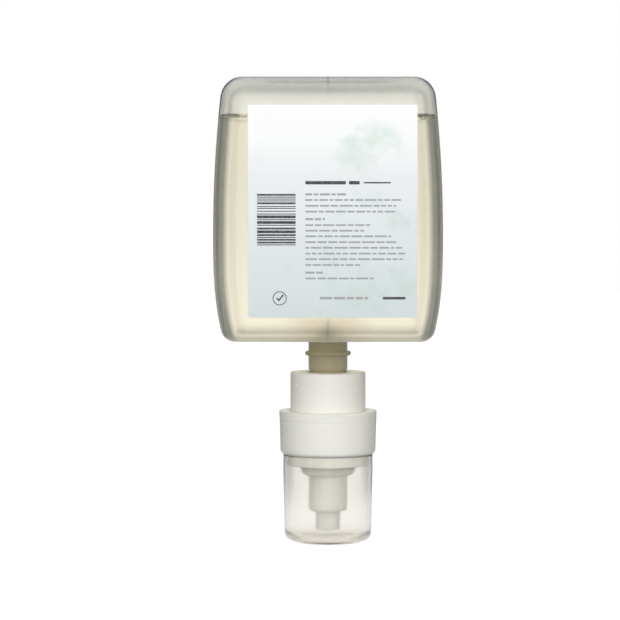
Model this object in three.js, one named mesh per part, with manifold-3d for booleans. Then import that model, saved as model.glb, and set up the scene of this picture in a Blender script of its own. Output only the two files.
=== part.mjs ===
// A foam soap cartridge for a wall dispenser, standing pump down on its clear cap.
// Millimetres, +Z up, origin at the middle of the cap's foot, label facing -Y.
import * as THREE from "three";
import { mergeVertices } from "three/addons/utils/BufferGeometryUtils.js";
import Module from "manifold-3d";

const wasm = await Module();
wasm.setup();

// Gap that touching pieces keep, and the closer one of a piston in its bore.
const seatGap = 0.3;
const slideGap = 0.15;

// Bottle: a rounded box, a little barrel shaped from the front, with its neck at the bottom.
const bottleWidth = 112;
const bottleDepth = 88.6;
const bottleHeight = 128.8;
const bottleWall = 1;
const bottleCorner = 12;
const leastCorner = 0.5;
const baseEdge = 10;
const shoulderEdge = 5;
const widestHeight = 52;
const taperAboveWidest = 4.8;
const taperBelowWidest = 5.2;
const bendAboveWidest = 2;
const bendBelowWidest = 3;
const baseDish = 0.8;
const baseRim = 9;
const soapDepth = 111;

// Neck of the bottle: it shows between bottle and sleeve, and its mouth plugs into the sleeve.
const neckRadius = 9.8;
const neckWall = 1.5;
const neckShown = 17.2;
const neckInsert = 8.3;
const neckFillet = 1;
const beadRise = 1.75;
const beadThickness = 2.4;
const beadDrop = 6.6;
const lockRise = 0.9;
const lockThickness = 1.4;
const lockHeight = 3.4;

// Label on the front, a little to the right of the middle.
const labelWidth = 81.6;
const labelHeight = 102.4;
const labelThickness = 0.2;
const labelCorner = 1.2;
const labelShift = 2.2;
const labelDrop = 14.2;

// Sleeve: takes the neck in a socket and houses the pump cylinder.
const sleeveRadius = 18.8;
const sleeveWall = 1.5;
const sleevePlate = 1.5;
const sleeveShown = 19.3;
const sleeveEdge = 0.6;
const socketWall = 2;
const snapRise = 1;
const snapThickness = 1.3;

// Collar: a hollow ring round the sleeve, with a spigot for the cap.
const collarHeight = 21.8;
const collarOverhang = 5.6;
const collarTaper = 0.6;
const collarWall = 1.5;
const collarEdge = 2.4;
const collarFloor = 1.5;
const spigotRadius = 21;
const spigotWall = 1.3;
const spigotDrop = 5.25;

// Clear cap: a cup with a recess under its foot.
const capHeight = 43.4;
const capWall = 1.1;
const capFloor = 1.5;
const capEdge = 5;
const capTaper = 0.65;
const capBandHeight = 7.4;
const footRecessRadius = 12.6;
const footRecess = 0.8;

// Nozzle: skirt, shoulder, mixing barrel and outlet tube in one moulding.
const nozzleLift = 5.8;
const outletRadius = 6.05;
const outletWall = 1.25;
const outletLength = 9.35;
const barrelRadius = 9.6;
const barrelWall = 1.3;
const barrelLength = 17.85;
const barrelEdge = 1.6;
const barrelFloor = 1.5;
const skirtClearance = 0.85;
const skirtWall = 1.3;
const skirtEdge = 3.6;
const skirtBoreGap = 0.6;
const shoulderShare = 0.9;

// Pump: travel of the nozzle, and the two pistons on their stem.
const stroke = 10;
const airWall = 1.2;
const pistonDisc = 1.5;
const pistonSkirtWall = 1.2;
const pistonSkirtHeight = 5;
const pistonFoot = 1.5;
const hubWall = 1.4;
const hubRise = 1;
const hubDrop = 1.5;
const airHoleRadius = 0.9;
const airHoleCount = 4;
const stemRadius = 2.9;
const stemBore = 1.6;
const stemHead = 1.3;
const stemHeadRise = 0.9;
const stemShoulder = 1.2;
const bellHeight = 5.5;
const bellWall = 1.4;
const bellRoof = 1.5;
const bellLip = 0.8;
const endPlay = 0.8;

// Soap cylinder, its plug in the neck and its inlet.
const liquidBore = 4.6;
const liquidWall = 1.2;
const liquidPistonHeight = 3.2;
const liquidPistonWaist = 0.5;
const cylinderDisc = 1.5;
const plugWall = 1.2;
const plugRise = 4.3;
const inletRoof = 1.2;
const inletHole = 1.2;
const portRadius = 0.9;
const portCircle = 2.9;
const portCount = 4;
const sealThickness = 1.4;

// Rubber valves, foam meshes and spring.
const valveThickness = 0.7;
const inletValveRadius = 4;
const inletValveStem = 0.9;
const inletValveBulb = 1.8;
const outletValveRadius = 3.2;
const outletValvePlug = 2;
const airValveGap = 1.5;
const holderWall = 1.5;
const meshThickness = 0.4;
const meshRebate = 0.8;
const springWire = 1;
const springMeanRadius = 8.2;
const springTurns = 7.5;

// Number of flat sides on round pieces.
const wideSides = 40;
const smallSides = 28;
const tinySides = 20;
const cornerSteps = 6;
const edgeSteps = 4;
const sideSteps = 6;
const drillSides = 8;
const springStepsPerTurn = 14;
const springSectionSteps = 3;

// Heights that follow from the sizes, from the foot upwards.
const collarBottom = capHeight + seatGap;
const collarTop = collarBottom + collarHeight;
const sleeveTop = collarTop + sleeveShown;
const bottleBottom = sleeveTop + neckShown;
const bottleTop = bottleBottom + bottleHeight;
const soapTop = bottleBottom + soapDepth;
const mouthHeight = sleeveTop - neckInsert;
const discTop = mouthHeight - sealThickness - 2 * seatGap;
const discBottom = discTop - cylinderDisc;
const collarFloorTop = collarBottom + collarFloor;
const pumpSeat = collarFloorTop + seatGap;
const pistonDiscBottom = pumpSeat + pistonFoot;
const pistonDiscTop = pistonDiscBottom + pistonDisc;
const hubTop = pistonDiscTop + hubRise;
const liquidCylinderBottom = hubTop + stroke + endPlay;
const liquidPistonBottom = liquidCylinderBottom + endPlay;
const liquidPistonTop = liquidPistonBottom + liquidPistonHeight;
const stemTop = liquidPistonTop + seatGap + stemHead;
const inletRoofBottom = stemTop + stroke + endPlay + seatGap + valveThickness;
const inletRoofTop = inletRoofBottom + inletRoof;
const inletValveTop = inletRoofTop + seatGap + valveThickness;
const outletTop = nozzleLift + outletLength;
const barrelTop = outletTop + barrelLength;
const barrelShelf = barrelTop + barrelWall;
const bellTop = barrelShelf + seatGap + bellLip;
const bellBottom = bellTop - bellHeight;

// Radii that follow from the sizes.
const socketRadius = neckRadius + seatGap;
const sleeveBore = sleeveRadius - sleeveWall;
const cylinderRadius = sleeveBore - seatGap;
const airBore = cylinderRadius - airWall;
const pistonRadius = airBore - slideGap;
const skirtRadius = pistonRadius - pistonSkirtWall - skirtClearance;
const skirtBore = skirtRadius - skirtWall;
const plugRadius = neckRadius - neckWall - seatGap;
const barrelBore = barrelRadius - barrelWall;
const collarBore = skirtRadius + skirtBoreGap;
const capBore = spigotRadius + seatGap;
const capRadius = capBore + capWall;

const clearPlastic = { color: 0xe9ebe2, roughness: 0.3, metalness: 0, transparent: true, opacity: 0.45 };
const whitePlastic = { color: 0xf1f0ea, roughness: 0.4, metalness: 0 };
const naturalPlastic = { color: 0xe6e4da, roughness: 0.45, metalness: 0 };
const rubber = { color: 0xc9ccc8, roughness: 0.6, metalness: 0 };

const refill = new THREE.Group();

function addPiece(name, geometry, look) {
  const piece = new THREE.Mesh(geometry, new THREE.MeshStandardMaterial(look));
  piece.name = name;
  refill.add(piece);
}

// A profile of [radius, height] points turned about the Z axis.
function turned(profile, sides) {
  const points = profile.map(([radius, height]) => new THREE.Vector2(radius, height));
  return new THREE.LatheGeometry(points, sides).rotateX(Math.PI / 2);
}

// A profile that runs once round a ring's section.
function turnedRing(profile, sides) {
  return turned([...profile, profile[0]], sides);
}

// A flat ring between two radii and two heights.
function plainRing(inner, outer, bottom, top, sides) {
  return turnedRing([[inner, bottom], [outer, bottom], [outer, top], [inner, top]], sides);
}

// Points of a quarter arc from one angle to another, in degrees.
function arc(centreRadius, centreHeight, radius, from, to, steps) {
  return Array.from({ length: steps + 1 }, (_, i) => {
    const angle = THREE.MathUtils.degToRad(from + ((to - from) * i) / steps);
    return [centreRadius + radius * Math.cos(angle), centreHeight + radius * Math.sin(angle)];
  });
}

function toSolid(geometry) {
  const bare = new THREE.BufferGeometry();
  bare.setAttribute("position", geometry.getAttribute("position"));
  bare.setIndex(geometry.index);
  const merged = mergeVertices(bare, 1e-4);
  return new wasm.Manifold(
    new wasm.Mesh({
      numProp: 3,
      vertProperties: merged.attributes.position.array,
      triVerts: new Uint32Array(merged.index.array),
    }),
  );
}

function toGeometry(solid) {
  const mesh = solid.getMesh();
  const geometry = new THREE.BufferGeometry();
  geometry.setAttribute("position", new THREE.BufferAttribute(mesh.vertProperties, 3));
  geometry.setIndex(new THREE.BufferAttribute(mesh.triVerts, 1));
  geometry.computeVertexNormals();
  return geometry;
}

// A piece with a circle of upright round holes.
function drilled(geometry, holeRadius, circleRadius, count, bottom, top) {
  const height = top - bottom;
  let solid = toSolid(geometry);
  for (let i = 0; i < count; i++) {
    const angle = ((i + 0.5) * 2 * Math.PI) / count;
    const drill = new THREE.CylinderGeometry(holeRadius, holeRadius, 2 * height, drillSides);
    drill.rotateX(Math.PI / 2);
    drill.translate(
      circleRadius * Math.cos(angle),
      circleRadius * Math.sin(angle),
      (bottom + top) / 2,
    );
    solid = solid.subtract(toSolid(drill));
  }
  return toGeometry(solid);
}

// One level of the bottle: a rectangle with round corners, or a circle where both halves equal the corner.
function level(height, halfWidth, halfDepth, corner) {
  const ring = [];
  for (let quarter = 0; quarter < 4; quarter++) {
    const signX = quarter === 0 || quarter === 3 ? 1 : -1;
    const signY = quarter < 2 ? 1 : -1;
    for (let i = 0; i <= cornerSteps; i++) {
      const angle = (Math.PI / 2) * (quarter + i / cornerSteps);
      ring.push([
        signX * (halfWidth - corner) + corner * Math.cos(angle),
        signY * (halfDepth - corner) + corner * Math.sin(angle),
        height,
      ]);
    }
  }
  return ring;
}

const circle = (height, radius) => level(height, radius, radius, radius);

// A closed skin over a stack of levels, with a flat fan at each end.
function lofted(levels) {
  const sides = levels[0].length;
  const positions = levels.flat(2);
  const index = [];
  for (let row = 0; row + 1 < levels.length; row++) {
    for (let i = 0; i < sides; i++) {
      const here = row * sides + i;
      const next = row * sides + ((i + 1) % sides);
      index.push(here, next, next + sides, here, next + sides, here + sides);
    }
  }
  const first = positions.length / 3;
  positions.push(0, 0, levels[0][0][2]);
  positions.push(0, 0, levels.at(-1)[0][2]);
  const top = (levels.length - 1) * sides;
  for (let i = 0; i < sides; i++) {
    const next = (i + 1) % sides;
    index.push(first, next, i);
    index.push(first + 1, top + i, top + next);
  }
  const geometry = new THREE.BufferGeometry();
  geometry.setAttribute("position", new THREE.Float32BufferAttribute(positions, 3));
  geometry.setIndex(index);
  geometry.computeVertexNormals();
  return geometry;
}

// Half of the bottle's outer width at a height: widest below the middle, less towards both ends.
function halfWidthAt(height) {
  const widest = bottleBottom + widestHeight;
  const above = height > widest;
  const span = above ? bottleTop - widest : widest - bottleBottom;
  const taper = above ? taperAboveWidest : taperBelowWidest;
  const bend = above ? bendAboveWidest : bendBelowWidest;
  return bottleWidth / 2 - taper * (Math.abs(height - widest) / span) ** bend;
}

// A level of the bottle's side, drawn in by a depth that covers the wall and the rounding of an edge.
function sideLevel(height, drawnIn) {
  return level(
    height,
    halfWidthAt(height) - drawnIn,
    bottleDepth / 2 - drawnIn,
    Math.max(bottleCorner - drawnIn, leastCorner),
  );
}

// Levels of the rounded edge above the neck, from the flat underside to the side.
function shoulderLevels(inset) {
  const radius = shoulderEdge - inset;
  return arc(0, bottleBottom + shoulderEdge, radius, -90, 0, edgeSteps).map(([out, height]) =>
    sideLevel(height, inset + radius - out),
  );
}

function sideLevels(inset, top) {
  const bottom = bottleBottom + shoulderEdge;
  return Array.from({ length: sideSteps - 1 }, (_, i) =>
    sideLevel(bottom + ((top - bottom) * (i + 1)) / sideSteps, inset),
  );
}

// Levels of the rounded edge at the base and of the shallow dish in it.
function baseLevels(inset) {
  const radius = baseEdge - inset;
  const edge = arc(0, bottleTop - baseEdge, radius, 0, 90, edgeSteps).map(([out, height]) =>
    sideLevel(height, inset + radius - out),
  );
  const dishTop = bottleTop - inset;
  return [
    ...edge,
    sideLevel(dishTop, baseEdge + baseRim),
    sideLevel(dishTop - baseDish, baseEdge + 2 * baseRim),
  ];
}

// Levels of the neck's outside from its mouth up to the bottle's underside.
function neckLevels() {
  const lockBottom = mouthHeight + lockHeight;
  const beadRadius = beadThickness / 2;
  const beadMiddle = bottleBottom - beadDrop - beadRadius;
  const beadCentre = neckRadius + beadRise - beadRadius;
  const beadEdge = arc(beadCentre, beadMiddle, beadRadius, -90, 90, edgeSteps);
  return [
    circle(mouthHeight, neckRadius),
    circle(lockBottom, neckRadius),
    circle(lockBottom + lockThickness / 2, neckRadius + lockRise),
    circle(lockBottom + lockThickness, neckRadius),
    circle(beadMiddle - beadRadius, neckRadius),
    ...beadEdge.map(([radius, height]) => circle(height, radius)),
    circle(beadMiddle + beadRadius, neckRadius),
    circle(bottleBottom - neckFillet, neckRadius),
    circle(bottleBottom, neckRadius + neckFillet),
  ];
}

function bottle() {
  const top = bottleTop - baseEdge;
  const outside = [
    ...neckLevels(),
    ...shoulderLevels(0),
    ...sideLevels(0, top),
    ...baseLevels(0),
  ];
  const bore = neckRadius - neckWall;
  const inside = [
    circle(mouthHeight, bore),
    circle(bottleBottom + bottleWall, bore),
    ...shoulderLevels(bottleWall),
    ...sideLevels(bottleWall, top),
    ...baseLevels(bottleWall),
  ];
  addPiece("bottle", lofted([...inside.reverse(), ...outside]), clearPlastic);
}

function soapFill() {
  const inset = bottleWall + seatGap;
  const radius = neckRadius - neckWall - seatGap;
  const levels = [
    circle(inletValveTop + seatGap, radius),
    circle(bottleBottom + inset, radius),
    ...shoulderLevels(inset),
    ...sideLevels(inset, soapTop),
    sideLevel(soapTop, inset),
  ];
  const look = { color: 0xf3efd6, roughness: 0.1, metalness: 0, transparent: true, opacity: 0.6 };
  addPiece("soap_fill", lofted(levels), look);
}

function frontLabel() {
  const right = labelWidth / 2 - labelCorner;
  const up = labelHeight / 2 - labelCorner;
  const outline = new THREE.Shape();
  outline.absarc(right, up, labelCorner, 0, Math.PI / 2);
  outline.absarc(-right, up, labelCorner, Math.PI / 2, Math.PI);
  outline.absarc(-right, -up, labelCorner, Math.PI, 1.5 * Math.PI);
  outline.absarc(right, -up, labelCorner, 1.5 * Math.PI, 2 * Math.PI);
  const geometry = new THREE.ExtrudeGeometry(outline, {
    depth: labelThickness,
    bevelEnabled: false,
    curveSegments: cornerSteps,
  });
  geometry.rotateX(Math.PI / 2);
  geometry.translate(
    labelShift,
    -bottleDepth / 2 - seatGap,
    bottleTop - labelDrop - labelHeight / 2,
  );
  addPiece("front_label", geometry, { color: 0xe6ecee, roughness: 0.5, metalness: 0 });
}

function neckSeal() {
  const ring = plainRing(
    plugRadius + seatGap,
    neckRadius,
    discTop + seatGap,
    discTop + seatGap + sealThickness,
    smallSides,
  );
  addPiece("neck_seal", ring, rubber);
}

// The sleeve: outer wall, top plate, and a socket inside it with a groove for the neck's lock bead.
function neckSleeve() {
  const plateBottom = sleeveTop - sleevePlate;
  const socketBottom = discTop + seatGap;
  const socketOuter = socketRadius + socketWall;
  const grooveMiddle = mouthHeight + lockHeight + lockThickness / 2;
  const grooveHalf = lockThickness / 2 + seatGap;
  const snapTop = collarTop - collarWall - seatGap;
  const profile = [
    [sleeveBore, pumpSeat],
    [sleeveRadius, pumpSeat],
    [sleeveRadius, snapTop - snapThickness],
    [sleeveRadius + snapRise, snapTop - snapThickness / 2],
    [sleeveRadius, snapTop],
    [sleeveRadius, sleeveTop - sleeveEdge],
    [sleeveRadius - sleeveEdge, sleeveTop],
    [socketRadius, sleeveTop],
    [socketRadius, grooveMiddle + grooveHalf],
    [socketRadius + lockRise, grooveMiddle],
    [socketRadius, grooveMiddle - grooveHalf],
    [socketRadius, socketBottom],
    [socketOuter, socketBottom],
    [socketOuter, plateBottom],
    [sleeveBore, plateBottom],
  ];
  addPiece("neck_sleeve", turnedRing(profile, wideSides), whitePlastic);
}

// The collar: top plate, tapered outer wall, rounded lower edge, spigot and the floor that carries the pump.
function collar() {
  const topRadius = sleeveRadius + collarOverhang;
  const lowRadius = topRadius - collarTaper;
  const edgeCentre = collarBottom + collarEdge;
  const plateBottom = collarTop - collarWall;
  const profile = [
    [spigotRadius - spigotWall, collarBottom - spigotDrop],
    [spigotRadius, collarBottom - spigotDrop],
    [spigotRadius, collarBottom],
    ...arc(lowRadius - collarEdge, edgeCentre, collarEdge, -90, 0, edgeSteps),
    [topRadius, collarTop],
    [sleeveRadius + seatGap, collarTop],
    [sleeveRadius + seatGap, plateBottom],
    [topRadius - collarWall, plateBottom],
    [lowRadius - collarWall, edgeCentre],
    [lowRadius - collarEdge, collarFloorTop],
    [collarBore, collarFloorTop],
    [collarBore, collarBottom],
    [spigotRadius - spigotWall, collarBottom],
  ];
  addPiece("collar", turnedRing(profile, wideSides), whitePlastic);
}

// The cylinder: air wall, disc, plug in the neck, and the soap cylinder with its ported roof.
function pumpCylinder() {
  const outer = liquidBore + liquidWall;
  const plugTop = discTop + plugRise;
  const profile = [
    [airBore, pumpSeat],
    [cylinderRadius, pumpSeat],
    [cylinderRadius, discTop],
    [plugRadius, discTop],
    [plugRadius, plugTop],
    [plugRadius - plugWall, plugTop],
    [plugRadius - plugWall, discTop],
    [outer, discTop],
    [outer, inletRoofTop],
    [inletHole, inletRoofTop],
    [inletHole, inletRoofBottom],
    [liquidBore, inletRoofBottom],
    [liquidBore, liquidCylinderBottom],
    [outer, liquidCylinderBottom],
    [outer, discBottom],
    [airBore, discBottom],
  ];
  const blank = turnedRing(profile, smallSides);
  const cylinder = drilled(blank, portRadius, portCircle, portCount, inletRoofBottom, inletRoofTop);
  addPiece("pump_cylinder", cylinder, naturalPlastic);
}

// The inlet's umbrella valve: a disc under the roof, a thin stem through it and a bulb above.
function inletValve() {
  const discTopHere = inletRoofBottom - seatGap;
  const profile = [
    [0, discTopHere - valveThickness],
    [inletValveRadius, discTopHere - valveThickness],
    [inletValveRadius, discTopHere],
    [inletValveStem, discTopHere],
    [inletValveStem, inletRoofTop + seatGap],
    [inletValveBulb, inletRoofTop + seatGap],
    [inletValveStem, inletValveTop],
    [0, inletValveTop],
  ];
  addPiece("inlet_valve", turned(profile, tinySides), rubber);
}

// The stem: head and shoulder that hold the small piston, tube, and the bell that seats in the nozzle.
function pistonStem() {
  const bellOuter = barrelBore - seatGap;
  const shoulderTop = liquidPistonBottom - seatGap;
  const head = stemRadius + stemHeadRise;
  const profile = [
    [bellOuter - bellWall, bellBottom],
    [bellOuter, bellBottom],
    [bellOuter, bellTop - bellLip],
    [bellOuter + bellLip, bellTop - bellLip],
    [bellOuter + bellLip, bellTop],
    [stemRadius, bellTop],
    [stemRadius, shoulderTop - stemShoulder],
    [head, shoulderTop - stemShoulder],
    [head, shoulderTop],
    [stemRadius, shoulderTop],
    [stemRadius, stemTop - stemHead],
    [head, stemTop - stemHead],
    [stemRadius, stemTop],
    [stemBore, stemTop],
    [stemBore, bellTop - bellRoof],
    [bellOuter - bellWall, bellTop - bellRoof],
  ];
  const blank = turnedRing(profile, smallSides);
  const ventCircle = (stemRadius + bellOuter - bellWall) / 2;
  const stem = drilled(blank, airHoleRadius, ventCircle, airHoleCount, bellTop - bellRoof, bellTop);
  addPiece("piston_stem", stem, naturalPlastic);
}

function liquidPiston() {
  const outer = liquidBore - slideGap;
  const waist = outer - liquidPistonWaist;
  const middle = (liquidPistonBottom + liquidPistonTop) / 2;
  const inner = stemRadius + seatGap;
  const profile = [
    [inner, liquidPistonBottom],
    [outer, liquidPistonBottom],
    [waist, middle],
    [outer, liquidPistonTop],
    [inner, liquidPistonTop],
  ];
  addPiece("liquid_piston", turnedRing(profile, smallSides), naturalPlastic);
}

// The air piston: hub on the stem, disc with vent holes, and a skirt that wipes the air cylinder.
function airPiston() {
  const hubBore = stemRadius + seatGap;
  const hubOuter = hubBore + hubWall;
  const skirtInner = pistonRadius - pistonSkirtWall;
  const skirtTop = pumpSeat + pistonSkirtHeight;
  const profile = [
    [hubBore, pistonDiscBottom - hubDrop],
    [hubOuter, pistonDiscBottom - hubDrop],
    [hubOuter, pistonDiscBottom],
    [skirtInner, pistonDiscBottom],
    [skirtInner, pumpSeat],
    [pistonRadius, pumpSeat],
    [pistonRadius, skirtTop],
    [skirtInner, skirtTop],
    [skirtInner, pistonDiscTop],
    [hubOuter, pistonDiscTop],
    [hubOuter, hubTop],
    [hubBore, hubTop],
  ];
  const blank = turnedRing(profile, smallSides);
  const ventCircle = (hubOuter + springMeanRadius) / 2;
  const piston = drilled(
    blank,
    airHoleRadius,
    ventCircle,
    airHoleCount,
    pistonDiscBottom,
    pistonDiscTop,
  );
  addPiece("air_piston", piston, naturalPlastic);
}

function airValve() {
  const top = pistonDiscBottom - seatGap;
  const inner = stemRadius + seatGap + hubWall + seatGap;
  const outer = skirtBore - airValveGap;
  const flap = plainRing(inner, outer, top - valveThickness, top, smallSides);
  addPiece("air_valve", flap, rubber);
}

// The outlet's mushroom valve: a disc under the bell's roof with a plug up the stem's bore.
function outletValve() {
  const roof = bellTop - bellRoof;
  const plug = stemBore - seatGap;
  const profile = [
    [0, roof - seatGap - valveThickness],
    [outletValveRadius, roof - seatGap - valveThickness],
    [outletValveRadius, roof - seatGap],
    [plug, roof - seatGap],
    [plug, roof + outletValvePlug],
    [0, roof + outletValvePlug],
  ];
  addPiece("outlet_valve", turned(profile, tinySides), rubber);
}

class SpringLine extends THREE.Curve {
  constructor(bottom, top) {
    super();
    this.bottom = bottom;
    this.top = top;
  }
  getPoint(t, target = new THREE.Vector3()) {
    const angle = 2 * Math.PI * springTurns * t;
    return target.set(
      springMeanRadius * Math.cos(angle),
      springMeanRadius * Math.sin(angle),
      this.bottom + (this.top - this.bottom) * t,
    );
  }
}

function returnSpring() {
  const half = springWire / 2;
  const line = new SpringLine(pistonDiscTop + seatGap + half, discBottom - seatGap - half);
  const section = new THREE.Shape().absarc(0, 0, half, 0, 2 * Math.PI);
  const geometry = new THREE.ExtrudeGeometry(section, {
    steps: springTurns * springStepsPerTurn,
    curveSegments: springSectionSteps,
    extrudePath: line,
    bevelEnabled: false,
  });
  addPiece("return_spring", geometry, { color: 0xb9bcc0, roughness: 0.25, metalness: 1 });
}

// The nozzle's wall, out and up from the outlet's tip, then back down the inside.
// Its shoulder's rounding keeps within the step from barrel to skirt.
function nozzle() {
  const outletBore = outletRadius - outletWall;
  const skirtTop = pistonDiscBottom - seatGap;
  const edge = Math.min(skirtEdge, shoulderShare * (skirtRadius - barrelRadius));
  const innerEdge = Math.max(edge - skirtWall, leastCorner);
  const floorTop = outletTop + barrelFloor;
  const profile = [
    [outletBore, nozzleLift],
    [outletRadius, nozzleLift],
    [outletRadius, outletTop],
    ...arc(barrelRadius - barrelEdge, outletTop + barrelEdge, barrelEdge, -90, 0, edgeSteps),
    [barrelRadius, barrelTop],
    ...arc(skirtRadius - edge, barrelTop + edge, edge, -90, 0, edgeSteps),
    [skirtRadius, skirtTop],
    [skirtBore, skirtTop],
    ...arc(skirtBore - innerEdge, barrelShelf + innerEdge, innerEdge, 0, -90, edgeSteps),
    [barrelBore, barrelShelf],
    [barrelBore, floorTop],
    [outletBore, floorTop],
  ];
  addPiece("nozzle", turnedRing(profile, wideSides), whitePlastic);
}

// The mesh holder: a tube with a rebate at each end for a mesh.
function meshHolder() {
  const bottom = outletTop + barrelFloor + seatGap;
  const top = bellBottom - seatGap;
  const outer = barrelBore - seatGap;
  const bore = outer - holderWall;
  const rebate = bore + meshRebate;
  const depth = meshThickness + seatGap;
  const section = [
    [rebate, bottom],
    [outer, bottom],
    [outer, top],
    [rebate, top],
    [rebate, top - depth],
    [bore, top - depth],
    [bore, bottom + depth],
    [rebate, bottom + depth],
  ];
  addPiece("mesh_holder", turnedRing(section, smallSides), naturalPlastic);
  const meshes = { upper_mesh: top - meshThickness, lower_mesh: bottom };
  for (const [name, low] of Object.entries(meshes)) {
    const radius = rebate - seatGap;
    const high = low + meshThickness;
    const profile = [[0, low], [radius, low], [radius, high], [0, high]];
    addPiece(name, turned(profile, smallSides), naturalPlastic);
  }
}

// The cap: foot ring round a recess, rounded lower edge, tapered wall and a straight band at the rim.
function overcap() {
  const bandBottom = capHeight - capBandHeight;
  const lowRadius = capRadius - capTaper;
  const lowBore = lowRadius - capWall;
  const floorTop = footRecess + capFloor;
  const innerEdge = capEdge - capWall;
  const profile = [
    [0, footRecess],
    [footRecessRadius - footRecess, footRecess],
    [footRecessRadius, 0],
    ...arc(lowRadius - capEdge, capEdge, capEdge, -90, 0, edgeSteps),
    [capRadius, bandBottom],
    [capRadius, capHeight],
    [capBore, capHeight],
    [capBore, bandBottom],
    ...arc(lowBore - innerEdge, floorTop + innerEdge, innerEdge, 0, -90, edgeSteps),
    [0, floorTop],
  ];
  addPiece("overcap", turned(profile, wideSides), clearPlastic);
}

bottle();
soapFill();
frontLabel();
neckSeal();
neckSleeve();
collar();
pumpCylinder();
inletValve();
pistonStem();
liquidPiston();
airPiston();
airValve();
outletValve();
returnSpring();
nozzle();
meshHolder();
overcap();

export default refill;
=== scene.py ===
# A foam soap refill for a wall dispenser, standing pump down on its clear cap.
import math
import random

import bmesh
import bpy
from mathutils import Matrix, Vector


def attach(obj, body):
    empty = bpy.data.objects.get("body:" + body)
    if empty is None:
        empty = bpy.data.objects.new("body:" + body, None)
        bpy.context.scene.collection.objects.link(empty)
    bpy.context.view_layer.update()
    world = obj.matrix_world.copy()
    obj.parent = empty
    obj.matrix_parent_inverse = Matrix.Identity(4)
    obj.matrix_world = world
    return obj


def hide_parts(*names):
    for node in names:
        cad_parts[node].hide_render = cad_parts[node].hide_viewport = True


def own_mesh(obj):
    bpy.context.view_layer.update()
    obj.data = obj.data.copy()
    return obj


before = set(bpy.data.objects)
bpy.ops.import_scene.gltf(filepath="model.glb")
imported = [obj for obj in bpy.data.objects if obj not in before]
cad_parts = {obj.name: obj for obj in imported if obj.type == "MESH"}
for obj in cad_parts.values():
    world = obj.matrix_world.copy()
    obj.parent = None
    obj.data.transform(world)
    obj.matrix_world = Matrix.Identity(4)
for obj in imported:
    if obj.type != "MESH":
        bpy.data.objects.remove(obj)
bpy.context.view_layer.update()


# Camera. It stands 1.25 m in front of the refill and a little above its middle, with a long lens, and looks 9 mm to
# the left of the pump's axis.
MM = 0.001
camera = bpy.data.objects.new("camera", bpy.data.cameras.new("camera"))
camera.data.sensor_width = 36
camera.data.lens = 145.3
camera.location = Vector((0, -1250, 175.7)) * MM
aim = Vector((-9, 0, 115.75)) * MM
camera.rotation_euler = (aim - camera.location).to_track_quat("-Z", "Y").to_euler()
bpy.context.scene.collection.objects.link(camera)
bpy.context.scene.camera = camera
bpy.context.scene.view_settings.view_transform = "Standard"


# Studio. Broad soft light comes from the front, from behind and from above, and hardly any from the sides. What clear
# plastic shows is a white surround with grey between its four white sides, which draws the plastic's edges.
class Value:
    """An output of a node. Sums on it add Math nodes."""

    def __init__(self, finish, socket):
        self.finish = finish
        self.socket = socket

    def of(self, name):
        """Another output of the same node."""
        return Value(self.finish, self.socket.node.outputs[name])

    def math(self, operation, *values):
        return self.finish.node("Math", {"operation": operation}, dict(enumerate(values)))

    def __add__(self, other):
        return self.math("ADD", self, other)

    def __sub__(self, other):
        return self.math("SUBTRACT", self, other)

    def __rsub__(self, other):
        return self.math("SUBTRACT", other, self)

    def __mul__(self, other):
        return self.math("MULTIPLY", self, other)

    def __truediv__(self, other):
        return self.math("DIVIDE", self, other)

    def __rtruediv__(self, other):
        return self.math("DIVIDE", other, self)

    def __pow__(self, other):
        return self.math("POWER", self, other)

    def __abs__(self):
        return self.math("ABSOLUTE", self)

    __radd__ = __add__
    __rmul__ = __mul__

    def at_least(self, other):
        return self.math("MAXIMUM", self, other)

    def at_most(self, other):
        return self.math("MINIMUM", self, other)

    def over(self, low, high):
        """0 below low, 1 above high, and smooth between."""
        span = {"Value": self, "From Min": low, "From Max": high}
        return self.finish.node("MapRange", {"interpolation_type": "SMOOTHSTEP"}, span)


class Finish:
    """The node tree of a material or of the studio's surround."""

    def __init__(self, owner):
        owner.use_nodes = True
        self.owner = owner
        self.tree = owner.node_tree
        self.tree.nodes.clear()

    def node(self, kind, settings=None, inputs=None, output=0):
        """Adds a node. Its settings come first, then the values or links of its sockets."""
        made = self.tree.nodes.new("ShaderNode" + kind)
        for name, value in (settings or {}).items():
            if name == "stops":
                ramp = made.color_ramp.elements
                for place, _ in value[2:]:
                    ramp.new(place)
                for stop, (place, colour) in zip(ramp, value):
                    stop.position = place
                    stop.color = colour
            else:
                setattr(made, name, value)
        for name, value in (inputs or {}).items():
            if isinstance(value, Value):
                self.tree.links.new(value.socket, made.inputs[name])
            else:
                made.inputs[name].default_value = value
        return Value(self, made.outputs[output]) if made.outputs else None

    def mix(self, share, first, second):
        """A colour between two, by the share of the second."""
        return self.node("Mix", {"data_type": "RGBA"}, {0: share, 6: first, 7: second}, 2)

    def split(self, vector):
        """The x, y and z of a vector."""
        parts = self.node("SeparateXYZ", inputs={"Vector": vector})
        return parts, parts.of("Y"), parts.of("Z")


def paint(text):
    """A colour from its six figures, as a screen shows it."""
    parts = [int(text[i : i + 2], 16) / 255 for i in (0, 2, 4)]
    return (*[p / 12.92 if p < 0.04045 else ((p + 0.055) / 1.055) ** 2.4 for p in parts], 1)


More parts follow.
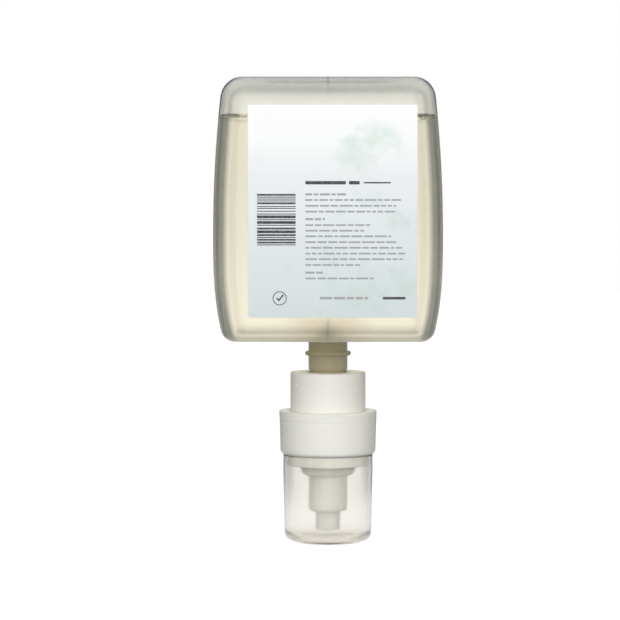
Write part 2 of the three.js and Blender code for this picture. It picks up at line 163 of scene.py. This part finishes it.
studio = Finish(bpy.data.worlds.new("studio"))
bpy.context.scene.world = studio.owner
toward_x, toward_y, toward_z = studio.split(studio.node("TexCoord", output="Generated"))
lamp_rise, lamp_reach = 0.26, 0.966
front_strength, back_strength, sky_strength, overhead_strength, fill_strength = 6.3, 3.4, 0.2, 1.9, 0.05
front = (lamp_rise * toward_z - lamp_reach * toward_y).at_least(0) ** 12
back = (lamp_rise * toward_z + lamp_reach * toward_y).at_least(0) ** 10
top = toward_z.at_least(0)
light = fill_strength + front_strength * front + back_strength * back
light = light + sky_strength * top**2 + overhead_strength * top**6

# How far a direction is turned from the four sides: 0 straight on to a side, and 1 halfway between two.
turn = abs(toward_x * toward_y) * 2 / (toward_x * toward_x + toward_y * toward_y)
corners = turn.over(0.18, 0.44) * (1 - turn.over(0.96, 0.998))
corner_dark = 0.85

# The surround's shade from straight down, at 0, through the horizon, at 0.5, to straight up, at 1.
shades_by_height = (
    (0, 1.15),
    (0.474, 1.15),
    (0.497, 0.86),
    (0.506, 0.86),
    (0.512, 0.94),
    (0.518, 0.87),
    (0.535, 0.7),
    (0.56, 0.5),
    (0.75, 0.5),
    (0.9, 0.9),
)
backdrop = studio.node(
    "ValToRGB",
    {"stops": [(place, (shade, shade, shade, 1)) for place, shade in shades_by_height]},
    {"Fac": toward_z * 0.5 + 0.5},
)
surround = backdrop * (1 - corner_dark * corners * (1 - toward_z.over(0.3, 0.7)))
path = studio.node("LightPath")
through = (path.of("Is Transmission Ray") + path.of("Is Glossy Ray")).at_most(1)
through = through * (1 - path.of("Diffuse Depth").at_most(1))
strength = light + through * (surround - light)
strength = strength + path.of("Is Camera Ray") * (1 - strength)
cool = studio.mix(through * corners, (1, 1, 1, 1), paint("eaf3ff"))
shown = studio.node("Background", inputs={"Color": cool, "Strength": strength})
studio.node("OutputWorld", inputs={"Surface": shown})


# Bottle. It is blow moulded in clear, faintly frosted plastic, with a dished base on top as it stands, a parting line
# over its middle and a thick beaded neck that plugs into the sleeve.
bottle_width = 111.9
bottle_depth = 88.6
bottle_bottom = 102
bottle_top = 230.8
bottle_wall = 1
bottle_corner = 12
base_edge = 10
shoulder_edge = 5
widest = 154
top_taper = 4.8
foot_taper = 5.2
base_sag = 0.7
sag_half_width = 50
sag_reach = 15
base_dish = ((0.82, 0), (0.9, 0.2), (0.88, 0.35), (0.86, 0.2), (0.7, 0.05))
neck_radius = 9.8
neck_wall = 1.5
bead_middle = 94.2
bead_round = 1.2
bead_fillet = 0.3
mouth = 76.5


def round_edges(shape, chosen, radius, segments):
    bmesh.ops.bevel(
        shape,
        geom=chosen,
        offset=radius,
        offset_type="OFFSET",
        affect="EDGES",
        segments=segments,
        profile=0.5,
        material=-1,
    )


def between_heights(parts, low, high):
    """The edges or faces that lie wholly between two heights."""
    return [p for p in parts if all(low <= v.co.z <= high for v in p.verts)]


def draw_ring(shape, ring, steps):
    """Draws a ring of edges on, through steps of radius and height."""
    for radius, height in steps:
        made = bmesh.ops.extrude_edge_only(shape, edges=ring)["geom"]
        points = [g for g in made if isinstance(g, bmesh.types.BMVert)]
        ring = [g for g in made if isinstance(g, bmesh.types.BMEdge)]
        share = radius / points[0].co.xy.length
        bmesh.ops.scale(shape, vec=(share, share, 1), verts=points)
        bmesh.ops.translate(shape, vec=(0, 0, height - points[0].co.z), verts=points)


def half_width_share(height):
    """How wide the bottle is at a height, as a share of its widest."""
    if height > widest:
        taper = top_taper * ((height - widest) / (bottle_top - widest)) ** 2
    else:
        taper = foot_taper * ((widest - height) / (widest - bottle_bottom)) ** 3
    return 1 - taper / (bottle_width / 2)


def bottle_skin(inset, neck_steps):
    """The bottle's surface, drawn in by inset and open at the end of its neck."""
    shape = bmesh.new()
    low, high = bottle_bottom + inset, bottle_top - inset
    bmesh.ops.create_cube(shape, size=1)
    size = (bottle_width - 2 * inset, bottle_depth - 2 * inset, high - low)
    bmesh.ops.scale(shape, vec=size, verts=shape.verts)
    bmesh.ops.translate(shape, vec=(0, 0, (low + high) / 2), verts=shape.verts)
    upright = [e for e in shape.edges if abs(e.verts[0].co.z - e.verts[1].co.z) > 1]
    round_edges(shape, upright, bottle_corner - inset, 16)
    round_edges(shape, between_heights(shape.edges, high - 0.01, high + 1), base_edge - inset, 12)
    round_edges(shape, between_heights(shape.edges, low - 1, low + 0.01), shoulder_edge - inset, 12)
    rows = 28
    for row in range(1, rows):
        height = low + shoulder_edge + (high - low - shoulder_edge - base_edge) * row / rows
        everything = [*shape.verts, *shape.edges, *shape.faces]
        bmesh.ops.bisect_plane(shape, geom=everything, plane_co=(0, 0, height), plane_no=(0, 0, 1))
    for share, drop in base_dish:
        base = [f for f in shape.faces if f.normal.z > 0.99 and len(f.verts) > 20]
        bmesh.ops.inset_region(shape, faces=base, thickness=0)
        bmesh.ops.scale(shape, vec=(share, share, 1), verts=base[0].verts)
        bmesh.ops.translate(shape, vec=(0, 0, -drop), verts=base[0].verts)
    underside = between_heights(shape.faces, low - 0.01, low + 0.01)
    opening = underside[0].edges[:]
    bmesh.ops.delete(shape, geom=underside, context="FACES_ONLY")
    root = bmesh.ops.create_circle(
        shape,
        segments=len(opening),
        radius=neck_steps[0][0],
        matrix=Matrix.Translation((0, 0, low)),
    )
    ring = list({e for v in root["verts"] for e in v.link_edges})
    bmesh.ops.bridge_loops(shape, edges=opening + ring)
    for point in set(shape.verts) - set(root["verts"]):
        point.co.x *= half_width_share(point.co.z)
        sag = max(0, 1 - (point.co.x / sag_half_width) ** 2)
        sag *= max(0, 1 - (bottle_top - point.co.z) / sag_reach)
        point.co.z -= base_sag * sag
    draw_ring(shape, ring, neck_steps[1:])
    return shape


def arc(centre_radius, centre_height, radius, start, end, steps):
    """Radius and height steps along an arc, between two angles in degrees."""
    turns = [math.radians(start + (end - start) * i / steps) for i in range(steps + 1)]
    return [(centre_radius + radius * math.cos(a), centre_height + radius * math.sin(a)) for a in turns]


def finished(name, shape, materials, body, slot, *replaced):
    """Makes a piece of a shape in millimetres, and rides it on its body."""
    bmesh.ops.scale(shape, vec=(MM, MM, MM), verts=shape.verts)
    data = bpy.data.meshes.new(name)
    shape.to_mesh(data)
    shape.free()
    data.shade_smooth()
    data.set_sharp_from_angle(angle=math.radians(38))
    piece = bpy.data.objects.new(name, data)
    bpy.context.scene.collection.objects.link(piece)
    for material in materials:
        data.materials.append(material)
    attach(piece, body)
    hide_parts(*replaced)
    return piece


bead_edge = bead_round + bead_fillet
outer_steps = [
    *arc(neck_radius + 1, bottle_bottom - 1, 1, 90, 180, 5),
    (neck_radius, bead_middle + 1.9),
    *arc(neck_radius + bead_fillet, bead_middle + bead_edge, bead_fillet, 180, 270, 2),
    *arc(neck_radius + 0.55, bead_middle, bead_round, 90, -90, 10),
    *arc(neck_radius + bead_fillet, bead_middle - bead_edge, bead_fillet, 90, 180, 2),
    (neck_radius, 87),
    (neck_radius - 0.15, 86.3),
    (neck_radius - 0.5, 85.7),
    (neck_radius - 0.7, 85.1),
    (neck_radius - 0.7, 84.6),
    (neck_radius, 84),
    (neck_radius, mouth),
]
bore_heights = (bottle_bottom + bottle_wall, 96, 90, 84, mouth)
outside = bottle_skin(0, outer_steps)
inside = bottle_skin(bottle_wall, [(neck_radius - neck_wall, height) for height in bore_heights])
bmesh.ops.recalc_face_normals(outside, faces=outside.faces)
bmesh.ops.recalc_face_normals(inside, faces=inside.faces)
bmesh.ops.reverse_faces(inside, faces=inside.faces)
lining = bpy.data.meshes.new("lining")
inside.to_mesh(lining)
outside.from_mesh(lining)
bpy.data.meshes.remove(lining)
lip = [e for e in outside.edges if e.is_boundary]
bmesh.ops.bridge_loops(outside, edges=lip)
for face in outside.faces:
    face.material_index = int(all(v.co.z < bottle_bottom - 0.5 for v in face.verts))


def let_lamps_through(made, clear, tint, inside):
    """Ends a clear material so that lamplight passes it, with a share taken at each face."""
    shadow = made.node("LightPath", output="Is Shadow Ray")
    passed = made.node("BsdfTransparent", inputs={"Color": paint(tint)})
    surface = made.node("MixShader", inputs={0: shadow, 1: clear, 2: passed})
    made.node("OutputMaterial", inputs={"Surface": surface, "Volume": inside})


def blown_plastic(name, colour, transmission):
    """Clear plastic as it leaves the mould: a little wavy and hazy, and tinted along its parting line. Painted shade
    greys its top band and darkens it over the neck and at the soap's level.
    """
    made = Finish(bpy.data.materials.new(name))
    point = made.node("TexCoord", output="Object")
    across, _, height = made.split(point)
    across, height = abs(across) * 1000, height * 1000
    waves = made.node("TexNoise", inputs={"Vector": point, "Scale": 55, "Detail": 2})
    haze = made.node("TexNoise", inputs={"Vector": point, "Scale": 420, "Detail": 3})
    above_neck = height.over(102, 103)
    ends = height.over(225.5, 227) + 0.4 - 0.4 * height.over(112, 114)
    seam = (1 - across.over(0.15, 0.45)) * ends * height.over(102.5, 103.5)
    # Painted shade: a grey over the band along the top, stronger towards the middle, for the dark band there.
    base = height.over(221, 228.5) * (1 - 0.4 * across.over(20, 50))
    # Painted shade: a warm darkening over the middle of the lowest band, above the neck.
    warm_neck_shade = (1 - across.over(5, 26)) * (1 - height.over(112, 116)) * above_neck
    # Painted shade: a blue grey patch that narrows upwards from the neck, for the dark funnel of the underside.
    funnel_shade = (1 - (across + (height - bottle_bottom) * 1.6).over(5, 16)) * above_neck
    # Painted shade: a brown grey band round the wall at the soap's level, for the dark line of the soap's surface.
    liquid_line_shade = 1 - abs(height - 210.4 - waves).over(0.35, 0.95)
    relief = made.node(
        "Bump",
        inputs={
            "Strength": 0.15,
            "Distance": 0.001,
            "Height": waves * 0.45 + haze * 0.035 + seam * 0.4,
        },
    )
    # Painted shade in these tints: the grey top band, the warm darkening and the blue grey patch over the neck, and
    # the soap's dark line. The blue grey along the seam is the parting line's own colour.
    tint = made.mix(base, paint(colour), paint("dcdedb"))
    tint = made.mix(warm_neck_shade * 0.35, tint, paint("dccfb8"))
    tint = made.mix((seam * 0.6 + funnel_shade * 0.45).at_most(0.75), tint, paint("93a097"))
    tint = made.mix(liquid_line_shade * 0.55, tint, paint("8f8a78"))
    surface = made.node(
        "BsdfPrincipled",
        inputs={
            "Base Color": tint,
            "Roughness": 0.08 + 0.07 * haze,
            "IOR": 1.5,
            "Specular IOR Level": 0.25,
            "Transmission Weight": transmission,
            "Normal": relief,
        },
    )
    inside_wall = made.node("VolumeAbsorption", inputs={"Color": paint("b4b8a6"), "Density": 60})
    let_lamps_through(made, surface, colour, inside_wall)
    return made.owner


# The neck's plastic is a darker, browner and less clear copy of the bottle's: painted shade for the dim neck, whose
# wall is also really thicker.
bottle_plastics = [
    blown_plastic("clear_bottle", "fcfbf6", 0.97),
    blown_plastic("shaded_neck", "bbb398", 0.3),
]
finished("bottle_shell", outside, bottle_plastics, "pack", "bottle_plastic", "bottle")


# Soap. A clear, faintly yellow liquid fills the bottle up to 18 mm under its base, and its edge climbs the wall a
# little. It is drawn a third of a millimetre into the wall, as liquid that wets the plastic leaves no gap.
soap_top = 212.4
soap_foot = 80.2
into_wall = 0.3
soap_inset = bottle_wall - into_wall
soap_neck = neck_radius - neck_wall + into_wall
soap_heights = (bottle_bottom + soap_inset, 96, 90, 85, soap_foot)
soap = bottle_skin(soap_inset, [(soap_neck, height) for height in soap_heights])
bmesh.ops.bisect_plane(
    soap,
    geom=[*soap.verts, *soap.edges, *soap.faces],
    plane_co=(0, 0, soap_top),
    plane_no=(0, 0, 1),
    clear_outer=True,
)
bmesh.ops.recalc_face_normals(soap, faces=soap.faces)
for height in (soap_top, soap_foot):
    bmesh.ops.edgeloop_fill(soap, edges=between_heights(soap.edges, height - 0.01, height + 0.01))
climb = ((0.3, 0.6), (0.4, 0.5), (0.5, 0.35), (0.7, 0.2), (1.2, 0.1))
for reach, drop in climb:
    surface = [f for f in soap.faces if len(f.verts) > 20 and f.calc_center_median().z > 200]
    bmesh.ops.inset_region(soap, faces=surface, thickness=reach, depth=-drop)
bmesh.ops.recalc_face_normals(soap, faces=soap.faces)

liquid = Finish(bpy.data.materials.new("liquid_soap"))
clear_soap = liquid.node(
    "BsdfPrincipled",
    inputs={"Base Color": (1, 1, 1, 1), "Roughness": 0, "IOR": 1.34, "Transmission Weight": 1},
)
depth = liquid.node("VolumeAbsorption", inputs={"Color": (0.96, 0.8, 0.2, 1), "Density": 2.7})
let_lamps_through(liquid, clear_soap, "fcfaf0", depth)
finished("soap", soap, [liquid.owner], "pack", "soap", "soap_fill")


# Bubbles. A few small ones cling to the front wall at the soap's surface. What shows of each is the rim of thin soap
# film where it meets the wall.
front_wall = -42.9
bubbles = bmesh.new()
for place_x, height, radius in (
    (45.6, 210.9, 1.2),
    (48.6, 211.6, 0.6),
    (43.3, 211.9, 0.5),
    (-49.3, 211.5, 0.5),
    (-46.2, 211.8, 0.4),
):
    rim = bmesh.ops.create_circle(
        bubbles,
        segments=8,
        radius=radius * 0.2,
        matrix=Matrix.Translation((place_x + radius, front_wall, height)),
    )
    bmesh.ops.spin(
        bubbles,
        geom=[*rim["verts"], *{e for v in rim["verts"] for e in v.link_edges}],
        cent=(place_x, front_wall, height),
        axis=(0, 1, 0),
        angle=2 * math.pi,
        steps=28,
        use_merge=True,
    )
bmesh.ops.remove_doubles(bubbles, verts=bubbles.verts, dist=0.0005)
bmesh.ops.recalc_face_normals(bubbles, faces=bubbles.faces)
froth = Finish(bpy.data.materials.new("bubble_film"))
point = froth.node("TexCoord", output="Object")
streaks = froth.node("TexNoise", inputs={"Vector": point, "Scale": 900})
thin = froth.node(
    "BsdfPrincipled",
    inputs={
        "Base Color": froth.mix(streaks * 0.3, paint("a9a694"), paint("8b897a")),
        "Roughness": 0.05,
        "IOR": 1.33,
        "Transmission Weight": 0.55,
    },
)
froth.node("OutputMaterial", inputs={"Surface": thin})
finished("soap_bubbles", bubbles, [froth.owner], "pack", "soap")


# Label. A satin film with round corners, printed in a pale blue grey with a faint green mottle; painted light fades it
# to white towards its top. It is stuck on the bottle's front, a little to the right of the middle.
label_width = 81.6
label_height = 102.4
label_thickness = 0.16
label_corner = 1.2
label_middle = Vector((2.2, -44.4, 165.4))
label = bmesh.new()
bmesh.ops.create_cube(label, size=1)
bmesh.ops.scale(label, vec=(label_width, label_thickness, label_height), verts=label.verts)
across = [e for e in label.edges if abs(e.verts[0].co.y - e.verts[1].co.y) > 0.1]
round_edges(label, across, label_corner, 5)
bmesh.ops.translate(label, vec=label_middle, verts=label.verts)

film = Finish(bpy.data.materials.new("printed_film"))
point = film.node("TexCoord", output="Object")
x, _, z = film.split(point)
x, z = x * 1000, z * 1000
cloud = film.node("TexNoise", inputs={"Vector": point, "Scale": 26, "Detail": 5, "Roughness": 0.65})
# The blue grey is print; its fade to white towards the top is painted light, for a top that the lamps light brighter.
shades = ((0, "d0d9dc"), (0.2, "dae2e4"), (0.67, "ebeff0"), (0.83, "fafbfb"), (1, "fcfcfc"))
sheet = film.node(
    "ValToRGB",
    {"stops": [(place, paint(shade)) for place, shade in shades]},
    {"Fac": (z - 105) / 115},
)
fade = 1 - z.over(105, 212)
sheet = film.mix(cloud.over(0.5, 0.68) * (fade * 1.2).at_most(0.6), sheet, paint("c6d9d1"))
mist = 1 - ((x - 18) ** 2 / 520 + (z - 197) ** 2 / 210).over(0.2, 1)
sheet = film.mix(cloud.over(0.45, 0.6) * mist * 0.6, sheet, paint("cfe3d8"))
grain = film.node("TexNoise", inputs={"Vector": point, "Scale": 700, "Detail": 2})
film_relief = film.node("Bump", inputs={"Strength": 0.05, "Distance": 0.0004, "Height": grain})
film_top = film.node(
    "BsdfPrincipled",
    inputs={"Base Color": sheet, "Roughness": 0.36 + 0.1 * grain, "Normal": film_relief},
)
film.node("OutputMaterial", inputs={"Surface": film_top})
finished("label_film", label, [film.owner], "pack", "label", "front_label")


# Print. Dark grey ink lies on the film: a heading and lines of small text that are only word-length bars, a bar code
# with bars of no meaning, and a ring with a tick.
ink_thickness = 0.03


def ink_bar(shape, left, right, middle, thickness, turn=0):
    """A printed bar between two x, at a height, tilted by turn degrees about its middle."""
    place = Matrix.Translation(((left + right) / 2, label_middle.y - 0.085, middle))
    tilt = Matrix.Rotation(math.radians(turn), 4, "Y")
    bmesh.ops.create_cube(
        shape,
        size=1,
        matrix=place @ tilt @ Matrix.Diagonal((right - left, ink_thickness, thickness, 1)),
    )


def ink(name, colour):
    """Matt ink that covers a little unevenly."""
    made = Finish(bpy.data.materials.new(name))
    spot = made.node("TexCoord", output="Object")
    cover = made.node("TexNoise", inputs={"Vector": spot, "Scale": 1500, "Detail": 2})
    shade = made.mix(cover.over(0.35, 0.75) * 0.3, paint(colour), paint("b2b5b6"))
    coat = made.node("BsdfPrincipled", inputs={"Base Color": shade, "Roughness": 0.45 + 0.1 * cover})
    made.node("OutputMaterial", inputs={"Surface": coat})
    return made.owner


text_left = -10.9
foot_line_left = -3.9
word_gap = 0.75
chance = random.Random(7)
small_print = bmesh.new()

# Each line's height, right end and thickness.
text_lines = (
    (173.6, 9.6, 1),
    (170.9, 36.6, 0.85),
    (168.1, 32.8, 0.85),
    (165.3, 33.3, 0.85),
    (161.7, -1.5, 1),
    (158.8, 20.2, 0.85),
    (156.1, 17.3, 0.85),
    (153.4, 30.4, 0.85),
    (150.6, 34.2, 0.85),
    (147.9, 35.7, 0.85),
    (145.1, 37.1, 0.85),
    (142.4, 36.1, 0.85),
    (139.6, 15.4, 0.85),
    (135.9, -2.5, 1),
    (133.1, 22.2, 0.85),
    (123.6, 19.3, 1.2),
)
for height, line_end, thickness in text_lines:
    start = foot_line_left if thickness > 1 else text_left
    while start < line_end - 1:
        word = min(chance.uniform(1.6, 6.5), line_end - start)
        ink_bar(small_print, start, start + word, height, thickness)
        start += word + word_gap
grey_ink = ink("grey_ink", "a3a6a8")
finished("small_print", small_print, [grey_ink], "pack", "label")

heading = bmesh.new()
for left, right, height, thickness in (
    (text_left, 8.6, 179.2, 1.6),
    (10.1, 15.2, 179.2, 1.6),
    (17.2, 30.2, 179.2, 0.7),
    (26.4, 37.4, 123.6, 1.2),
):
    ink_bar(heading, left, right, height, thickness)

bar_left, bar_right, bar_top, bar_foot = -34.2, -15.6, 173.8, 149
while bar_top > bar_foot:
    bar = chance.choice((0.45, 0.45, 0.9, 0.9, 1.35))
    ink_bar(heading, bar_left, bar_right, bar_top - bar / 2, bar)
    bar_top -= bar + chance.choice((0.45, 0.45, 0.9))

tick_thickness = 0.7
ink_bar(heading, -25, -23.1, 122.9, tick_thickness, 45)
ink_bar(heading, -24.3, -20.9, 123.9, tick_thickness, -50)
ring_middle = Matrix.Translation((-23.3, label_middle.y - 0.09, 123.5))
rims = []
for radius in (3.4, 3.0):
    rim = bmesh.ops.create_circle(
        heading,
        segments=40,
        radius=radius,
        matrix=ring_middle @ Matrix.Rotation(math.pi / 2, 4, "X"),
    )
    rims += {e for v in rim["verts"] for e in v.link_edges}
ring = bmesh.ops.bridge_loops(heading, edges=rims)["faces"]
bmesh.ops.solidify(heading, geom=ring, thickness=ink_thickness)
bmesh.ops.recalc_face_normals(heading, faces=heading.faces)
black_ink = ink("black_ink", "2a2d2f")
finished("heading_print", heading, [black_ink], "pack", "label")


# Sleeve. One moulding in white polypropylene takes the bottle's neck in a socket and houses the pump cylinder. It has
# a low ridge, which the collar's lip snaps over, and two small pips at its left.
def turned(corners, closed=True):
    """A shape turned about the pump's axis from its section's corners: radius, height and rounding."""
    longest_edge = 1.5
    shape = bmesh.new()
    points = [shape.verts.new((radius, 0, height)) for radius, height, _ in corners]
    ends = points[1:] + points[:1] if closed else points[1:]
    for start, end in zip(points, ends):
        shape.edges.new((start, end))
    for rounding in sorted({c[2] for c in corners if c[2]}):
        chosen = [p for p, c in zip(points, corners) if c[2] == rounding]
        bmesh.ops.bevel(
            shape,
            geom=chosen,
            offset=rounding,
            offset_type="OFFSET",
            affect="VERTICES",
            segments=8 if rounding > 1 else 4,
            profile=0.5,
            material=-1,
        )
    for edge in shape.edges[:]:
        cuts = int(edge.calc_length() / longest_edge)
        if cuts:
            bmesh.ops.subdivide_edges(shape, edges=[edge], cuts=cuts)
    bmesh.ops.spin(
        shape,
        geom=[*shape.verts, *shape.edges],
        cent=(0, 0, 0),
        axis=(0, 0, 1),
        angle=2 * math.pi,
        steps=128,
        use_merge=True,
    )
    bmesh.ops.remove_doubles(shape, verts=shape.verts, dist=0.0005)
    bmesh.ops.recalc_face_normals(shape, faces=shape.faces)
    return shape


def moulded(name, colour, roughness):
    """A satin moulding: its gloss and its surface vary a little."""
    made = Finish(bpy.data.materials.new(name))
    point = made.node("TexCoord", output="Object")
    grain = made.node("TexNoise", inputs={"Vector": point, "Scale": 900, "Detail": 3})
    flow = made.node("TexNoise", inputs={"Vector": point, "Scale": 45, "Detail": 2})
    relief = made.node(
        "Bump",
        inputs={"Strength": 0.06, "Distance": 0.0005, "Height": grain * 0.4 + flow},
    )
    shade = made.mix(flow.over(0.35, 0.65) * 0.4, paint(colour), paint("efeee8"))
    body = made.node(
        "BsdfPrincipled",
        inputs={"Base Color": shade, "Roughness": roughness + 0.1 * flow, "Normal": relief},
    )
    made.node("OutputMaterial", inputs={"Surface": body})
    return made.owner


white = moulded("white_moulding", "f0efe9", 0.38)
sleeve_radius = 18.8
sleeve_top = 84.8
sleeve_section = [
    (17.3, 45.5, 0),
    (sleeve_radius, 45.5, 0.2),
    (sleeve_radius, 62.6, 0),
    (19.6, 63.2, 0.2),
    (sleeve_radius, 63.6, 0),
    (sleeve_radius, sleeve_top, 0.6),
    (10.1, sleeve_top, 0.25),
    (10.1, 80, 0),
    (10.1, 74.8, 0),
    (12.1, 74.8, 0.2),
    (12.1, 83.3, 0.3),
    (17.3, 83.3, 0.3),
]
sleeve = turned(sleeve_section)
pip_heights = (79.3, 73.2)
for height in pip_heights:
    bmesh.ops.create_icosphere(
        sleeve,
        subdivisions=3,
        radius=0.75,
        matrix=Matrix.Translation((-15.75, -9.93, height)) @ Matrix.Diagonal((0.6, 0.6, 1, 1)),
    )
finished("neck_sleeve_moulding", sleeve, [white], "pack", "white_plastic", "neck_sleeve")


# Collar. A wider hollow ring, moulded in the same white plastic, snaps round the sleeve. Two fine grooves run round it
# near its top, and a spigot under it takes the cap.
collar_section = [
    (19.7, 38.45, 0.3),
    (21, 38.45, 0.4),
    (21, 43.7, 0),
    (23.75, 43.7, 2.4),
    (24.24, 60.75, 0),
    (24.21, 60.85, 0),
    (24.26, 60.95, 0),
    (24.31, 63, 0),
    (24.29, 63.1, 0),
    (24.33, 63.2, 0),
    (24.38, 65.5, 0.35),
    (19.1, 65.5, 0.2),
    (19.1, 64, 0),
    (22.9, 64, 0.3),
    (22.3, 45.2, 0.9),
    (14.2, 45.2, 0.2),
    (14.2, 43.7, 0.2),
    (19.7, 43.7, 0),
]
finished("collar_moulding", turned(collar_section), [white], "pack", "white_plastic", "collar")


# Nozzle. One white moulding: an outlet tube, the wider barrel that holds the foam meshes, and a skirt that slides up
# inside the collar when the dispenser pushes it.
nozzle_section = [
    (4.8, 5.8, 0.2),
    (6.05, 5.8, 0.25),
    (6.05, 15.15, 0.3),
    (9.6, 15.15, 1.6),
    (9.6, 33, 0.3),
    (13.6, 33, 3.5),
    (13.6, 46.7, 0.2),
    (12.3, 46.7, 0.2),
    (12.3, 34.3, 2.2),
    (8.3, 34.3, 0),
    (8.3, 16.65, 0.3),
    (4.8, 16.65, 0.2),
]
finished("nozzle_moulding", turned(nozzle_section), [white], "pump", "white_plastic", "nozzle")


# Cap. A thin-walled cup, moulded in clear, faintly milky plastic and pushed on over the spigot, with a shallow recess
# under its foot. A warm tint on the foot is a painted reflection, for the tan that the foot shows.
cap_section = [
    (0, 0.8, 0),
    (11.8, 0.8, 0.4),
    (12.6, 0, 0.3),
    (21.75, 0, 5),
    (22.4, 36, 0),
    (22.4, 43.55, 0.35),
    (21.3, 43.55, 0.25),
    (21.3, 36, 0),
    (20.65, 2.3, 3.9),
    (0, 2.3, 0),
]
milky = Finish(bpy.data.materials.new("clear_cap"))
point = milky.node("TexCoord", output="Object")
height = milky.split(point)[2] * 1000
haze = milky.node("TexNoise", inputs={"Vector": point, "Scale": 300, "Detail": 2})
# Painted reflection: a warm tint on the lowest few millimetres of the cup, its foot.
foot_reflection = 1 - height.over(1.5, 4)
cup = milky.node(
    "BsdfPrincipled",
    inputs={
        "Base Color": milky.mix(foot_reflection * 0.4, paint("fdfcf9"), paint("f2e0c8")),
        "Roughness": 0.12 + 0.06 * haze,
        "IOR": 1.49,
        "Specular IOR Level": 0.2,
        "Transmission Weight": 0.97,
    },
)
cup_wall = milky.node("VolumeAbsorption", inputs={"Color": paint("bcbaae"), "Density": 58})
let_lamps_through(milky, cup, "f6f5f1", cup_wall)
finished("overcap_cup", turned(cap_section, closed=False), [milky.owner], "cap", "cap_plastic", "overcap")


# Spring. A coil of bright drawn wire stands between the air piston and the pump cylinder, and pushes the nozzle out
# again, and the nozzle going up presses it flatter. It is drawn at one length.
coil_radius = 8.2
wire_radius = 0.5
coil_foot = 49.3
coil_rise = 22.9
coil_turns = 7.5
coil_steps = 300
coil = bmesh.new()
wire = [
    coil.verts.new((coil_radius + wire_radius * math.cos(turn), 0, wire_radius * math.sin(turn)))
    for turn in (corner * math.pi / 4 for corner in range(8))
]
for start, end in zip(wire, wire[1:] + wire[:1]):
    coil.edges.new((start, end))
bmesh.ops.translate(coil, vec=(0, 0, coil_foot), verts=coil.verts)
bmesh.ops.spin(
    coil,
    geom=[*coil.verts, *coil.edges],
    cent=(0, 0, 0),
    axis=(0, 0, 1),
    dvec=(0, 0, coil_rise / coil_steps),
    angle=2 * math.pi * coil_turns,
    steps=coil_steps,
)
bmesh.ops.holes_fill(coil, edges=coil.edges)
bmesh.ops.recalc_face_normals(coil, faces=coil.faces)
steel = Finish(bpy.data.materials.new("drawn_wire"))
wire_finish = steel.node(
    "BsdfPrincipled",
    inputs={"Base Color": paint("c4c6c9"), "Metallic": 1, "Roughness": 0.25},
)
steel.node("OutputMaterial", inputs={"Surface": wire_finish})
spring = finished("spring_coil", coil, [steel.owner], "pack", "spring_steel", "return_spring")
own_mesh(spring)


# Inner pieces of the pump, which the sleeve and the nozzle hide. They keep their solids from the CAD, in natural
# plastic, pale rubber and woven mesh.
natural = moulded("natural_moulding", "e9e7df", 0.42)
rubber = moulded("pale_rubber", "cfd1cd", 0.6)
mesh = moulded("foam_mesh", "e4e3dd", 0.6)
inner = {
    "neck_seal": rubber,
    "pump_cylinder": natural,
    "inlet_valve": rubber,
    "piston_stem": natural,
    "liquid_piston": natural,
    "air_piston": natural,
    "air_valve": rubber,
    "outlet_valve": rubber,
    "mesh_holder": natural,
    "upper_mesh": mesh,
    "lower_mesh": mesh,
}
for name, material in inner.items():
    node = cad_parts[name]
    node.data.materials.clear()
    node.data.materials.append(material)


# Floor. A plain white table top that keeps the refill's shadow. Seen through the clear cap, it carries on the studio's
# grey between the four sides.
table_top = bmesh.new()
bmesh.ops.create_grid(table_top, x_segments=1, y_segments=1, size=3)
ground = bpy.data.meshes.new("floor")
table_top.to_mesh(ground)
table_top.free()
floor = bpy.data.objects.new("floor", ground)
bpy.context.scene.collection.objects.link(floor)
table = Finish(bpy.data.materials.new("white_table"))
path = table.node("LightPath")
seen = (path.of("Is Transmission Ray") + path.of("Is Glossy Ray")).at_most(1)
seen = seen * (1 - path.of("Diffuse Depth").at_most(1))
x, y, _ = table.split(table.node("TexCoord", output="Object"))
far = x * x + y * y
turn = abs(x * y) * 2 / far
corners = turn.over(0.18, 0.42) * (1 - turn.over(0.96, 0.998)) * far.over(0.01, 0.058)
matt = table.node("BsdfDiffuse", inputs={"Color": (0.25, 0.25, 0.25, 1)})
glow = 0.85
strength = path.of("Is Camera Ray") * glow + seen * (glow - 0.65 * corners)
lift = table.node("Emission", inputs={"Strength": strength})
table.node("OutputMaterial", inputs={"Surface": table.node("AddShader", inputs={0: matt, 1: lift})})
ground.materials.append(table.owner)


bpy.context.view_layer.update()
